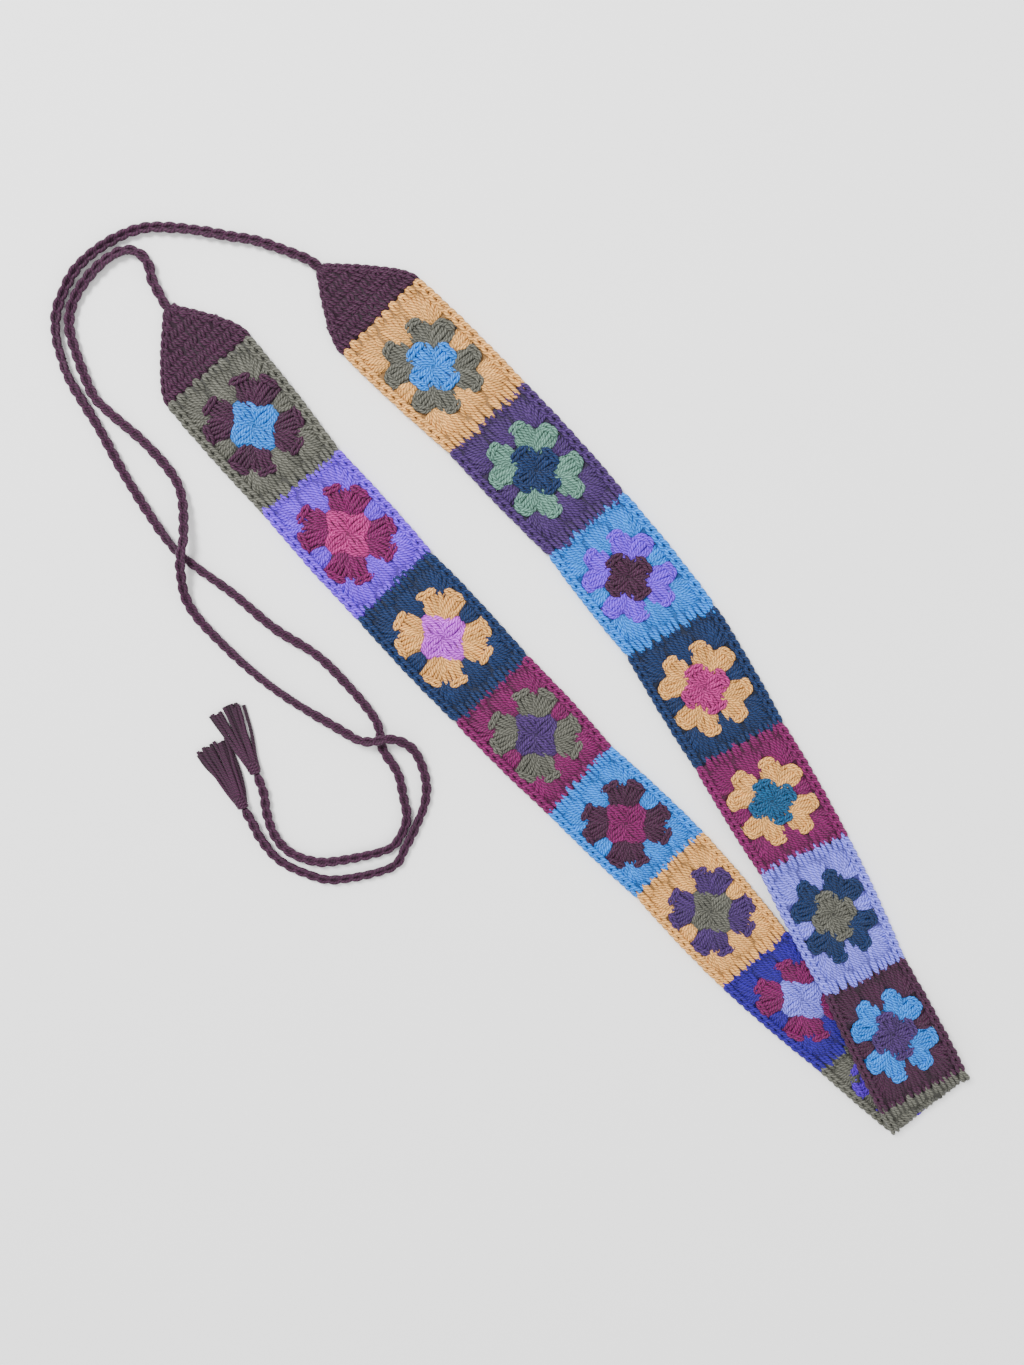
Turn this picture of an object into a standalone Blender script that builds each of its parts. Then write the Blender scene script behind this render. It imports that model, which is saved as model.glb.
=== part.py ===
# Crochet tie belt: fifteen joined granny squares folded over once, a pointed tip at each end,
# a chain tie from each tip and a tassel on each tie. It lies on the plane z = 0.
# Metres, +Z up. The origin is under the middle of the squares and tips.

import math

import bmesh
import bpy
import numpy as np

# Driving sizes
SQUARE_LENGTH = 0.070
SQUARE_WIDTH = 0.050
FABRIC_THICKNESS = 0.0042
CLEARANCE = 0.0003  # between one piece and the next
LAYER_GAP = 0.0005  # between the two layers where the belt lies on itself
TIP_LENGTH = 0.035
TIP_ROWS = 8  # rows of single crochet in a tip
TIE_DIAMETER = 0.0046
TASSEL_LENGTH = 0.0345  # from the middle of the knot
TASSEL_END_WIDTH = 0.0195
LOCK_THICKNESS = 0.0032
KNOT_LENGTH = 0.0084
KNOT_WIDTH = 0.0066

# The fold: a bend about a level line, whose direction is turned from +X
FOLD_TURN = 40.3
FOLD_STEPS = 5  # flat facets round the half turn
FOLD_INSIDE = 0.0009  # radius left on the inside of the fold, where the fabric is squeezed
FOLD_CUT_REACH = 0.00015  # a corner this near to a facet's edge is taken as being on it
FOLD_TO_SEAM = 0.0058  # from the fold line back to the first seam of the upper arm
FOLD_SEAM_SHIFT = 0.0055  # of that seam, along the fold line
FIRST_SEAM = (30.2, 1.015)  # its turn in degrees and its share of the square's width

# The upper arm drops from the lower arm to the floor beside it
DROP_START = 0.0025
DROP_RUN = 0.027

# Long edges swell between seams, by this share of the half width
EDGE_SWELL = 0.03

# Each square from the fold out to the tip: its number, the way it heads and how long it is,
# then its far seam's turn and width. Turns are in degrees from +X, lengths and widths are
# shares of the square's length and width.
LOWER_ARM = [
    # number, heading, length, seam turn, seam width
    (8, 140.4, 0.949, 44.8, 0.948),
    (7, 139.2, 1.034, 43.6, 0.914),
    (6, 131.2, 0.974, 46.3, 0.985),
    (5, 136.3, 0.935, 48.7, 0.968),
    (4, 133.7, 0.976, 43.3, 1.019),
    (3, 132.7, 1.010, 43.4, 1.019),
    (2, 131.3, 1.013, 37.8, 0.996),
    (1, 129.3, 0.980, 39.1, 1.076),
]
UPPER_ARM = [
    # number, heading, length, seam turn, seam width
    (9, 117.7, 1.078, 24.5, 0.936),
    (10, 117.2, 1.045, 23.7, 0.992),
    (11, 121.4, 0.978, 29.2, 1.016),
    (12, 121.5, 1.020, 30.6, 1.028),
    (13, 129.0, 0.989, 40.5, 0.982),
    (14, 133.7, 1.033, 42.7, 1.013),
    (15, 136.9, 1.004, 43.5, 1.041),
]
TIPS = {
    # heading in degrees, share of the tip's length
    "left": (121.7, 0.97),
    "right": (141.9, 1.02),
}

# A quarter of a square, from the middle of its end to the middle of its long edge.
# Along is a share of the half length and across is a share of the half width.
QUARTER = [
    # centre along, across, petals along, across, border along, across
    (0.411, 0.000, 0.463, 0.000, 1.00, 0.00),
    (0.355, 0.079, 0.620, 0.138, 1.00, 0.22),
    (0.295, 0.150, 0.666, 0.340, 1.00, 0.55),
    (0.213, 0.260, 0.438, 0.533, 1.00, 1.00),
    (0.146, 0.353, 0.331, 0.804, 0.55, 1.00),
    (0.076, 0.427, 0.149, 0.834, 0.22, 1.00),
    (0.000, 0.464, 0.000, 0.536, 0.00, 1.00),
]
CENTRE_COLUMNS = (0, 1)
PETAL_COLUMNS = (2, 3)
BORDER_COLUMNS = (4, 5)

# Heights of a round, as shares of the fabric's thickness
EDGE_HEIGHT = 0.70
RIM_HEIGHT = 0.60
CROWN_HEIGHT = 1.00
CROWN_PLACE = 0.5  # share of the way from a round's inner edge to its outer edge

# A tip's half width along its length, both as shares
TIP_OUTLINE = [
    # along, half width
    (0.00, 1.00),
    (0.12, 0.97),
    (0.30, 0.84),
    (0.50, 0.65),
    (0.70, 0.44),
    (0.85, 0.27),
    (1.00, 0.10),
]
ROW_VALLEY = 0.82  # height between two rows of a tip, as a share of the thickness

# A tassel's locks, spread from one side of it to the other
LOCKS = [
    # share of the tassel's length, rise as a share of a lock's thickness
    (0.93, 0.00),
    (1.00, 0.22),
    (0.95, 0.00),
    (1.02, 0.25),
    (0.97, 0.00),
    (0.90, 0.18),
]
LOCK_STATIONS = [
    # share of the lock's length, share of its end width
    (0.00, 0.50),
    (0.35, 0.72),
    (0.90, 1.00),
    (1.00, 0.86),
]
LOCK_SIDES = 6

# The ties' routes, from the tip to the tassel
RIGHT_TIE = [
    (-0.1305, 0.2263, 0.0024),
    (-0.1370, 0.2305, 0.0024),
    (-0.1590, 0.2380, 0.0024),
    (-0.1735, 0.2405, 0.0024),
    (-0.1880, 0.2430, 0.0024),
    (-0.2025, 0.2445, 0.0024),
    (-0.2145, 0.2445, 0.0024),
    (-0.2265, 0.2410, 0.0024),
    (-0.2385, 0.2345, 0.0024),
    (-0.2490, 0.2255, 0.0024),
    (-0.2555, 0.2150, 0.0024),
    (-0.2595, 0.2045, 0.0024),
    (-0.2600, 0.1935, 0.0024),
    (-0.2580, 0.1840, 0.0024),
    (-0.2545, 0.1730, 0.0024),
    (-0.2425, 0.1505, 0.0024),
    (-0.2275, 0.1215, 0.0024),
    (-0.2085, 0.0925, 0.0024),
    (-0.1970, 0.0820, 0.0024),
    (-0.1785, 0.0680, 0.0024),
    (-0.1580, 0.0500, 0.0024),
    (-0.1365, 0.0360, 0.0024),
    (-0.1195, 0.0185, 0.0024),
    (-0.1085, 0.0045, 0.0024),
    (-0.1055, -0.0030, 0.0024),
    (-0.1050, -0.0090, 0.0024),
    (-0.1030, -0.0150, 0.0024),
    (-0.0990, -0.0210, 0.0024),
    (-0.0960, -0.0275, 0.0024),
    (-0.0940, -0.0385, 0.0024),
    (-0.0925, -0.0495, 0.0024),
    (-0.0965, -0.0600, 0.0024),
    (-0.1045, -0.0670, 0.0024),
    (-0.1330, -0.0735, 0.0024),
    (-0.1460, -0.0720, 0.0024),
    (-0.1555, -0.0670, 0.0024),
    (-0.1620, -0.0585, 0.0024),
    (-0.1655, -0.0465, 0.0024),
    (-0.1665, -0.0365, 0.0024),
    (-0.1695, -0.0270, 0.0024),
]
LEFT_TIE = [
    (-0.2051, 0.2073, 0.0024),
    (-0.2085, 0.2135, 0.0024),
    (-0.2120, 0.2205, 0.0024),
    (-0.2130, 0.2260, 0.0024),
    (-0.2155, 0.2305, 0.0024),
    (-0.2200, 0.2335, 0.0024),
    (-0.2255, 0.2335, 0.0024),
    (-0.2330, 0.2300, 0.0024),
    (-0.2415, 0.2230, 0.0024),
    (-0.2490, 0.2140, 0.0024),
    (-0.2530, 0.2045, 0.0024),
    (-0.2530, 0.1930, 0.0024),
    (-0.2450, 0.1680, 0.0024),
    (-0.2375, 0.1585, 0.0024),
    (-0.2180, 0.1410, 0.0024),
    (-0.2035, 0.1210, 0.0026),
    (-0.2010, 0.0980, 0.0062),
    (-0.2025, 0.0885, 0.0078),
    (-0.2035, 0.0785, 0.0062),
    (-0.2020, 0.0640, 0.0030),
    (-0.1920, 0.0495, 0.0024),
    (-0.1615, 0.0210, 0.0024),
    (-0.1250, -0.0030, 0.0036),
    (-0.1165, -0.0075, 0.0060),
    (-0.1090, -0.0080, 0.0078),
    (-0.1015, -0.0065, 0.0078),
    (-0.0945, -0.0080, 0.0060),
    (-0.0880, -0.0130, 0.0038),
    (-0.0840, -0.0215, 0.0026),
    (-0.0820, -0.0315, 0.0024),
    (-0.0830, -0.0415, 0.0024),
    (-0.0870, -0.0520, 0.0024),
    (-0.0935, -0.0655, 0.0024),
    (-0.1015, -0.0765, 0.0024),
    (-0.1300, -0.0830, 0.0024),
    (-0.1460, -0.0795, 0.0024),
    (-0.1600, -0.0720, 0.0024),
    (-0.1690, -0.0605, 0.0024),
    (-0.1730, -0.0520, 0.0024),
    (-0.1765, -0.0455, 0.0024),
]
TIE_POINT_SPACING = 2.2  # tie diameters between two points of the solid's centre line

# Tassels hang on from the end of each tie, turned this way in degrees
TASSEL_TURNS = {"right": 115.0, "left": 116.0}

# Yarns: base colour and roughness
YARNS = {
    "plum": (0.095, 0.032, 0.070),
    "grey": (0.160, 0.160, 0.140),
    "sky": (0.004, 0.340, 0.830),
    "lilac": (0.320, 0.190, 0.830),
    "magenta": (0.260, 0.014, 0.130),
    "rose": (0.480, 0.100, 0.290),
    "navy": (0.003, 0.045, 0.180),
    "tan": (0.760, 0.440, 0.180),
    "orchid": (0.640, 0.210, 0.720),
    "purple": (0.072, 0.040, 0.150),
    "indigo": (0.040, 0.023, 0.320),
    "periwinkle": (0.260, 0.270, 0.790),
    "violet": (0.130, 0.048, 0.520),
    "teal": (0.010, 0.180, 0.390),
    "sage": (0.150, 0.290, 0.250),
}
YARN_ROUGHNESS = 0.8

# The yarn of each square's rounds
ROUNDS = {
    # number: centre, petals, border
    1: ("sky", "plum", "grey"),
    2: ("rose", "magenta", "lilac"),
    3: ("orchid", "tan", "navy"),
    4: ("purple", "grey", "magenta"),
    5: ("magenta", "plum", "sky"),
    6: ("grey", "purple", "tan"),
    7: ("periwinkle", "magenta", "indigo"),
    8: ("rose", "violet", "grey"),
    9: ("purple", "sky", "plum"),
    10: ("grey", "navy", "periwinkle"),
    11: ("teal", "tan", "magenta"),
    12: ("rose", "tan", "navy"),
    13: ("plum", "lilac", "sky"),
    14: ("navy", "sage", "purple"),
    15: ("sky", "grey", "tan"),
}
END_YARN = "plum"


# The fold's frame: foldLine runs along it and foldOut points away from both arms
def direction(degrees):
    return np.array([math.cos(math.radians(degrees)), math.sin(math.radians(degrees))])


FOLD_LINE = direction(FOLD_TURN)
FOLD_OUT = direction(FOLD_TURN - 90)
LAYER_RISE = FABRIC_THICKNESS + LAYER_GAP  # of the upper layer over the lower one
FOLD_RADIUS = LAYER_RISE / 2  # of the middle of the fabric
FOLD_ARC = math.pi * FOLD_RADIUS


# A seam is its middle and its half line, from the middle to its right end
def seam(middle, turn, width_share):
    return middle, direction(turn) * SQUARE_WIDTH * width_share / 2


def walk(first_seam, arm):
    seams = [first_seam]
    for _, heading, length_share, turn, width_share in arm:
        middle = seams[-1][0] + direction(heading) * SQUARE_LENGTH * length_share
        seams.append(seam(middle, turn, width_share))
    return seams


def unrolled(upper_seam):
    # The same seam in the flat plane of the lower arm, before the belt was folded
    middle, half = upper_seam

    def flat(point):
        inward = -float(point @ FOLD_OUT)
        return FOLD_LINE * float(point @ FOLD_LINE) + FOLD_OUT * (FOLD_ARC + inward)

    return flat(middle), flat(middle + half) - flat(middle)


UPPER_SEAMS = walk(
    seam(FOLD_LINE * FOLD_SEAM_SHIFT - FOLD_OUT * FOLD_TO_SEAM, *FIRST_SEAM), UPPER_ARM
)
LOWER_SEAMS = walk(unrolled(UPPER_SEAMS[0]), LOWER_ARM)
# The lower arm's edge on the side where the upper arm comes down beside it
LOWER_EDGE = [middle + half for middle, half in LOWER_SEAMS]


def rise(point):
    # How far the upper arm's underside is lifted over the lower arm at this point
    nearest = None
    for start, end in zip(LOWER_EDGE, LOWER_EDGE[1:]):
        run = end - start
        share = float(np.clip((point - start) @ run / (run @ run), 0, 1))
        away = point - (start + run * share)
        side = run[0] * away[1] - run[1] * away[0]
        distance = math.hypot(*away)
        if nearest is None or distance < abs(nearest):
            nearest = math.copysign(distance, -side)
    fall = min(max((nearest - DROP_START) / DROP_RUN, 0), 1)
    return LAYER_RISE * (1 - fall * fall * (3 - 2 * fall))


def on_lower(point, height):
    return np.array([point[0], point[1], height])


def on_upper(point, height):
    return np.array([point[0], point[1], height + rise(point)])


def round_fold(point, height):
    # A point of the unfolded belt, wrapped round the fold in flat facets
    along = float(point @ FOLD_LINE)
    out = float(point @ FOLD_OUT)
    if out <= 0:
        return on_lower(point, height)
    if out >= FOLD_ARC:
        turned_over = FABRIC_THICKNESS - height
        return on_upper(FOLD_LINE * along - FOLD_OUT * (out - FOLD_ARC), turned_over)
    step = min(int(out / FOLD_ARC * FOLD_STEPS), FOLD_STEPS - 1)
    share = out / FOLD_ARC * FOLD_STEPS - step
    arm = max(FOLD_RADIUS + FABRIC_THICKNESS / 2 - height, FOLD_INSIDE)
    ends = []
    for corner in (step, step + 1):
        angle = math.pi * corner / FOLD_STEPS
        ends.append(np.array([arm * math.sin(angle), -arm * math.cos(angle)]))
    outward, up = ends[0] * (1 - share) + ends[1] * share
    middle_height = FABRIC_THICKNESS + LAYER_GAP / 2
    flat = FOLD_LINE * along + FOLD_OUT * outward
    return np.array([flat[0], flat[1], middle_height + up])


# The scene
def clear_scene():
    for old in list(bpy.data.objects):
        bpy.data.objects.remove(old, do_unlink=True)


def new_collection(name):
    collection = bpy.data.collections.new(name)
    bpy.context.scene.collection.children.link(collection)
    return collection


def yarn_material(name):
    material = bpy.data.materials.new("yarn_" + name)
    material.use_nodes = True
    shader = material.node_tree.nodes["Principled BSDF"]
    shader.inputs["Base Color"].default_value = (*YARNS[name], 1)
    shader.inputs["Roughness"].default_value = YARN_ROUGHNESS
    shader.inputs["Metallic"].default_value = 0
    return material


def add_piece(name, mesh, material, collection):
    mesh.materials.clear()
    mesh.materials.append(material)
    piece = bpy.data.objects.new(name, mesh)
    collection.objects.link(piece)
    return piece


# Lofts: each section is a list of points, joined to the next one in order
def loft(sections, closed_way, capped):
    shape = bmesh.new()
    loops = [[shape.verts.new(point) for point in section] for section in sections]
    pairs = list(zip(loops, loops[1:]))
    if closed_way:
        pairs.append((loops[-1], loops[0]))
    count = len(loops[0])
    for near, far in pairs:
        for index in range(count):
            after = (index + 1) % count
            shape.faces.new((near[index], near[after], far[after], far[index]))
    caps = []
    if capped:
        caps = [shape.faces.new(loops[0]), shape.faces.new(loops[-1])]
    return shape, caps


def finished_mesh(name, shape):
    bmesh.ops.triangulate(shape, faces=shape.faces)
    bmesh.ops.recalc_face_normals(shape, faces=shape.faces)
    if shape.calc_volume(signed=True) < 0:
        bmesh.ops.reverse_faces(shape, faces=shape.faces)
    mesh = bpy.data.meshes.new(name)
    shape.to_mesh(mesh)
    shape.free()
    mesh.shade_smooth()
    mesh.set_sharp_from_angle(angle=math.radians(40))
    return mesh


# A square's outlines, in metres from its middle
def outline(columns, offset):
    along, across = columns
    quarter = [(row[along], row[across]) for row in QUARTER]
    back = quarter[-2::-1]
    points = quarter + [(-a, b) for a, b in back]
    points += [(-a, -b) for a, b in quarter[1:]]
    points += [(a, -b) for a, b in back[:-1]]
    points = np.array(points) * (SQUARE_LENGTH / 2, SQUARE_WIDTH / 2)
    return moved_out(points, offset)


def moved_out(points, offset):
    # Each side of the outline moves out by the offset, and its corners stay mitred
    sides = np.roll(points, -1, axis=0) - points
    normals = np.stack([sides[:, 1], -sides[:, 0]], axis=1)
    normals /= np.linalg.norm(normals, axis=1)[:, None]
    before = np.roll(normals, 1, axis=0)
    spread = 1 + np.sum(normals * before, axis=1)
    return points + offset * (normals + before) / spread[:, None]


def at_height(points, share):
    return [(a, b, share * FABRIC_THICKNESS) for a, b in points]


def centre_shape():
    edge = outline(CENTRE_COLUMNS, -CLEARANCE / 2)
    shape, caps = loft([at_height(edge, 0), at_height(edge, EDGE_HEIGHT)], False, True)
    poked = bmesh.ops.poke(shape, faces=[caps[1]])
    poked["verts"][0].co.z = CROWN_HEIGHT * FABRIC_THICKNESS
    return shape


def round_shape(inner_columns, outer_columns, outer_height):
    inner = outline(inner_columns, CLEARANCE / 2)
    outer = outline(outer_columns, -CLEARANCE / 2)
    crown = inner + (outer - inner) * CROWN_PLACE
    sections = [
        at_height(inner, 0),
        at_height(inner, EDGE_HEIGHT),
        at_height(crown, CROWN_HEIGHT),
        at_height(outer, outer_height),
        at_height(outer, 0),
    ]
    return loft(sections, True, False)[0]


# A square laid between its two seams
def lay_square(shape, near_seam, far_seam, place):
    bmesh.ops.triangulate(shape, faces=shape.faces)
    for vertex in shape.verts:
        along = vertex.co.x / (SQUARE_LENGTH / 2)
        across = vertex.co.y / (SQUARE_WIDTH / 2)
        across *= 1 + EDGE_SWELL * (1 - along * along)
        near = near_seam[0] + near_seam[1] * across
        far = far_seam[0] + far_seam[1] * across
        flat = near * (1 - along) / 2 + far * (1 + along) / 2
        vertex.co.x, vertex.co.y = flat
    if place is round_fold:
        cut_for_fold(shape)
    for vertex in shape.verts:
        vertex.co = place(np.array(vertex.co.xy), vertex.co.z)


def cut_for_fold(shape):
    # Edges across the belt wherever the fold turns
    for step in range(FOLD_STEPS + 1):
        point = FOLD_OUT * FOLD_ARC * step / FOLD_STEPS
        bmesh.ops.bisect_plane(
            shape,
            geom=shape.verts[:] + shape.edges[:] + shape.faces[:],
            dist=FOLD_CUT_REACH,
            plane_co=(point[0], point[1], 0),
            plane_no=(FOLD_OUT[0], FOLD_OUT[1], 0),
        )
    bmesh.ops.triangulate(shape, faces=shape.faces)
    bmesh.ops.dissolve_degenerate(shape, edges=shape.edges, dist=FOLD_CUT_REACH)
    bmesh.ops.triangulate(shape, faces=shape.faces)


def add_squares(arm, seams, place, yarns, collection):
    for (number, *_), near_seam, far_seam in zip(arm, seams, seams[1:]):
        way = round_fold if number == 8 else place
        shapes = {
            "centre": centre_shape(),
            "petals": round_shape(CENTRE_COLUMNS, PETAL_COLUMNS, EDGE_HEIGHT),
            "border": round_shape(PETAL_COLUMNS, BORDER_COLUMNS, RIM_HEIGHT),
        }
        for (part, shape), yarn in zip(shapes.items(), ROUNDS[number]):
            lay_square(shape, near_seam, far_seam, way)
            name = f"square_{number:02d}_{part}"
            add_piece(name, finished_mesh(name, shape), yarns[yarn], collection)


# A tip: rows of single crochet, each a ridge from edge to edge
def add_tip(side, base_seam, yarns, collection):
    heading, length_share = TIPS[side]
    middle, half = base_seam
    inward = np.array([half[1], -half[0]]) / math.hypot(*half)
    start = middle - inward * CLEARANCE / 2
    reach = direction(heading) * TIP_LENGTH * length_share
    shares = [row[0] for row in TIP_OUTLINE]
    widths = [row[1] for row in TIP_OUTLINE]
    sections = []
    for index in range(2 * TIP_ROWS + 1):
        share = index / (2 * TIP_ROWS)
        edge = half * float(np.interp(share, shares, widths))
        crown = (CROWN_HEIGHT if index % 2 else ROW_VALLEY) * FABRIC_THICKNESS
        rim = RIM_HEIGHT * FABRIC_THICKNESS
        profile = [(-1, 0), (-1, rim), (-0.6, crown), (0.6, crown), (1, rim), (1, 0)]
        here = start + reach * share
        sections.append([(*(here + edge * across), height) for across, height in profile])
    shape, _ = loft(sections, False, True)
    name = side + "_tip"
    add_piece(name, finished_mesh(name, shape), yarns[END_YARN], collection)


# A tie: a round tube along a smooth curve through its route
def smooth_route(points, spacing):
    points = np.array(points)
    ends = [2 * points[0] - points[1], 2 * points[-1] - points[-2]]
    guide = np.vstack([ends[0], points, ends[1]])
    fine = []
    for p0, p1, p2, p3 in zip(guide, guide[1:], guide[2:], guide[3:]):
        for t in np.linspace(0, 1, 12, endpoint=False):
            fine.append(
                0.5 * (2 * p1 + (p2 - p0) * t + (2 * p0 - 5 * p1 + 4 * p2 - p3) * t**2
                       + (3 * p1 - p0 - 3 * p2 + p3) * t**3)
            )
    fine = np.array(fine + [points[-1]])
    walked = np.concatenate([[0], np.cumsum(np.linalg.norm(np.diff(fine, axis=0), axis=1))])
    count = max(2, round(walked[-1] / spacing))
    stops = np.linspace(0, walked[-1], count + 1)
    return np.stack([np.interp(stops, walked, fine[:, axis]) for axis in range(3)], axis=1)


def add_tie(side, route, yarns, collection):
    points = smooth_route(route, TIE_POINT_SPACING * TIE_DIAMETER)
    curve = bpy.data.curves.new(side + "_tie", "CURVE")
    curve.dimensions = "3D"
    curve.bevel_depth = TIE_DIAMETER / 2
    curve.bevel_resolution = 2
    curve.use_fill_caps = True
    line = curve.splines.new("POLY")
    line.points.add(len(points) - 1)
    for knot, point in zip(line.points, points):
        knot.co = (*point, 1)
    curve.materials.append(yarns[END_YARN])
    tie = bpy.data.objects.new(side + "_tie", curve)
    collection.objects.link(tie)


# A tassel: a knot with locks of yarn fanned out from it
def lock_mesh(name, neck, turn, length, rise_share):
    run = direction(turn)
    across = direction(turn - 90)
    sections = []
    for share, width_share in LOCK_STATIONS:
        middle = neck + run * length * share
        half_width = TASSEL_END_WIDTH / len(LOCKS) / 2 * 1.04 * width_share
        half_height = LOCK_THICKNESS / 2 * (0.8 + 0.2 * width_share)
        height = LOCK_THICKNESS / 2 + rise_share * LOCK_THICKNESS
        section = []
        for side in range(LOCK_SIDES):
            angle = 2 * math.pi * side / LOCK_SIDES
            place = middle + across * half_width * math.cos(angle)
            section.append((*place, height + half_height * math.sin(angle)))
        sections.append(section)
    return finished_mesh(name, loft(sections, False, True)[0])


def add_tassel(side, tie_end, yarns, collection, cutters):
    turn = TASSEL_TURNS[side]
    run = direction(turn)
    neck = np.array(tie_end[:2]) + run * (CLEARANCE + KNOT_LENGTH / 2)
    shape = bmesh.new()
    bmesh.ops.create_uvsphere(shape, u_segments=8, v_segments=6, radius=1)
    for vertex in shape.verts:
        along = vertex.co.x * KNOT_LENGTH / 2
        sideways = vertex.co.y * KNOT_WIDTH / 2
        place = neck + run * along + direction(turn - 90) * sideways
        vertex.co = (*place, KNOT_WIDTH / 2 * (vertex.co.z + 1) * 0.86)
    name = side + "_tassel"
    tassel = add_piece(name, finished_mesh(name, shape), yarns[END_YARN], collection)
    spread = math.degrees(math.atan(TASSEL_END_WIDTH / 2 / TASSEL_LENGTH))
    for index, (length_share, rise_share) in enumerate(LOCKS):
        fan = spread * (1 - (2 * index + 1) / len(LOCKS))
        lock_name = f"{name}_lock_{index + 1}"
        mesh = lock_mesh(lock_name, neck, turn + fan, TASSEL_LENGTH * length_share, rise_share)
        lock = add_piece(lock_name, mesh, yarns[END_YARN], cutters)
        lock.hide_render = True
        lock.display_type = "WIRE"
        union = tassel.modifiers.new("Lock " + str(index + 1), "BOOLEAN")
        union.operation = "UNION"
        union.object = lock


def centre_on_origin(collection):
    # The squares and tips move together, so that their box stands on the origin
    corners = [vertex.co for piece in collection.objects for vertex in piece.data.vertices]
    corners = np.array(corners)
    middle = (corners.min(axis=0) + corners.max(axis=0)) / 2
    for piece in collection.objects:
        for vertex in piece.data.vertices:
            vertex.co.x -= middle[0]
            vertex.co.y -= middle[1]


def main():
    clear_scene()
    belt = new_collection("crochet_tie_belt")
    cutters = new_collection("cutters")
    yarns = {name: yarn_material(name) for name in YARNS}
    add_squares(LOWER_ARM, LOWER_SEAMS, on_lower, yarns, belt)
    add_squares(UPPER_ARM, UPPER_SEAMS, on_upper, yarns, belt)
    add_tip("left", LOWER_SEAMS[-1], yarns, belt)
    add_tip("right", UPPER_SEAMS[-1], yarns, belt)
    centre_on_origin(belt)
    for side, route in (("left", LEFT_TIE), ("right", RIGHT_TIE)):
        add_tie(side, route, yarns, belt)
        add_tassel(side, route[-1], yarns, belt, cutters)


main()
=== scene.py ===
# Crochet tie belt: granny squares, tips, chain ties and tassels, drawn strand by strand in yarn.
# Metres, +Z up, in the frame of the CAD model.

import math

import bpy
import numpy as np
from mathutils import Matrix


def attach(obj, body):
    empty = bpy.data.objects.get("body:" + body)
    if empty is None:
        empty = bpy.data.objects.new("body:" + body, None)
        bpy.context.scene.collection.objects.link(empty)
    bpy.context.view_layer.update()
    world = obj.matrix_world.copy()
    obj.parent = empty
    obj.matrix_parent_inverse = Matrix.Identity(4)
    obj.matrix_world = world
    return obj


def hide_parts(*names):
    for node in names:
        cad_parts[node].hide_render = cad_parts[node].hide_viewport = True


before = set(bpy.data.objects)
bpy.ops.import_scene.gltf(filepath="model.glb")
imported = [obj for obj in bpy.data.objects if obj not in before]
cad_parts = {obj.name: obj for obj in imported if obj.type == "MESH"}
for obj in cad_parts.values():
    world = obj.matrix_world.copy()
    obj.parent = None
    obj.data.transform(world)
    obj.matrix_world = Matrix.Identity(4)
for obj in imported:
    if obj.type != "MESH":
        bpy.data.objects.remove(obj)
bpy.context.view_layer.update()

# Sizes that the yarn shares with the CAD model
belt = {
    "squareLength": 0.070,
    "squareWidth": 0.050,
    "thickness": 0.0042,
    "layerGap": 0.0005,
    "edgeSwell": 0.03,
    "tipLength": 0.035,
    "tieDiameter": 0.0046,
    "middle": (-0.18424, 0.20981),  # of the squares and tips, before they were moved to the origin
}
fold = {
    "turn": 40.3,
    "inside": 0.0009,  # radius left on the inside of the fold
    "toSeam": 0.0058,
    "seamShift": 0.0055,
    "firstSeam": (30.2, 1.015),
    "dropStart": 0.0025,
    "dropRun": 0.027,
}

# Each square from the fold out to the tip: number, heading, length, seam turn, seam width
lowerArm = [
    (8, 140.4, 0.949, 44.8, 0.948),
    (7, 139.2, 1.034, 43.6, 0.914),
    (6, 131.2, 0.974, 46.3, 0.985),
    (5, 136.3, 0.935, 48.7, 0.968),
    (4, 133.7, 0.976, 43.3, 1.019),
    (3, 132.7, 1.010, 43.4, 1.019),
    (2, 131.3, 1.013, 37.8, 0.996),
    (1, 129.3, 0.980, 39.1, 1.076),
]
upperArm = [
    (9, 117.7, 1.078, 24.5, 0.936),
    (10, 117.2, 1.045, 23.7, 0.992),
    (11, 121.4, 0.978, 29.2, 1.016),
    (12, 121.5, 1.020, 30.6, 1.028),
    (13, 129.0, 0.989, 40.5, 0.982),
    (14, 133.7, 1.033, 42.7, 1.013),
    (15, 136.9, 1.004, 43.5, 1.041),
]

# Yarn colours, sRGB
yarnColours = {
    "plum": "#3B1832",
    "grey": "#5A5A52",
    "sky": "#007EE4",
    "lilac": "#8560EE",
    "magenta": "#6E0A50",
    "rose": "#A8447A",
    "navy": "#002452",
    "tan": "#E2AC72",
    "orchid": "#CC66E8",
    "purple": "#422D5E",
    "indigo": "#2C1A88",
    "periwinkle": "#8C8CF0",
    "violet": "#5528B8",
    "teal": "#004C78",
    "sage": "#62877A",
}
rounds = {
    # number: centre, petals, border
    1: ("sky", "plum", "grey"),
    2: ("rose", "magenta", "lilac"),
    3: ("orchid", "tan", "navy"),
    4: ("purple", "grey", "magenta"),
    5: ("magenta", "plum", "sky"),
    6: ("grey", "purple", "tan"),
    7: ("periwinkle", "magenta", "indigo"),
    8: ("rose", "violet", "grey"),
    9: ("purple", "sky", "plum"),
    10: ("grey", "navy", "periwinkle"),
    11: ("teal", "tan", "magenta"),
    12: ("rose", "tan", "navy"),
    13: ("plum", "lilac", "sky"),
    14: ("navy", "sage", "purple"),
    15: ("sky", "grey", "tan"),
}
endYarn = "plum"


# The camera looks down at the belt, tilted a little as in the photo
def addCamera():
    view = bpy.data.cameras.new("camera")
    view.sensor_fit = "VERTICAL"
    view.sensor_height = 24
    view.lens = view.sensor_height * 1200 / 1365  # the lens is 1200 pixels long in an image 1365 high
    camera = bpy.data.objects.new("camera", view)
    camera.location = (-0.0373, 0.1237, 0.6095)
    camera.rotation_euler = (math.radians(-9.5), 0, 0)
    bpy.context.scene.collection.objects.link(camera)
    bpy.context.scene.camera = camera


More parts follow.
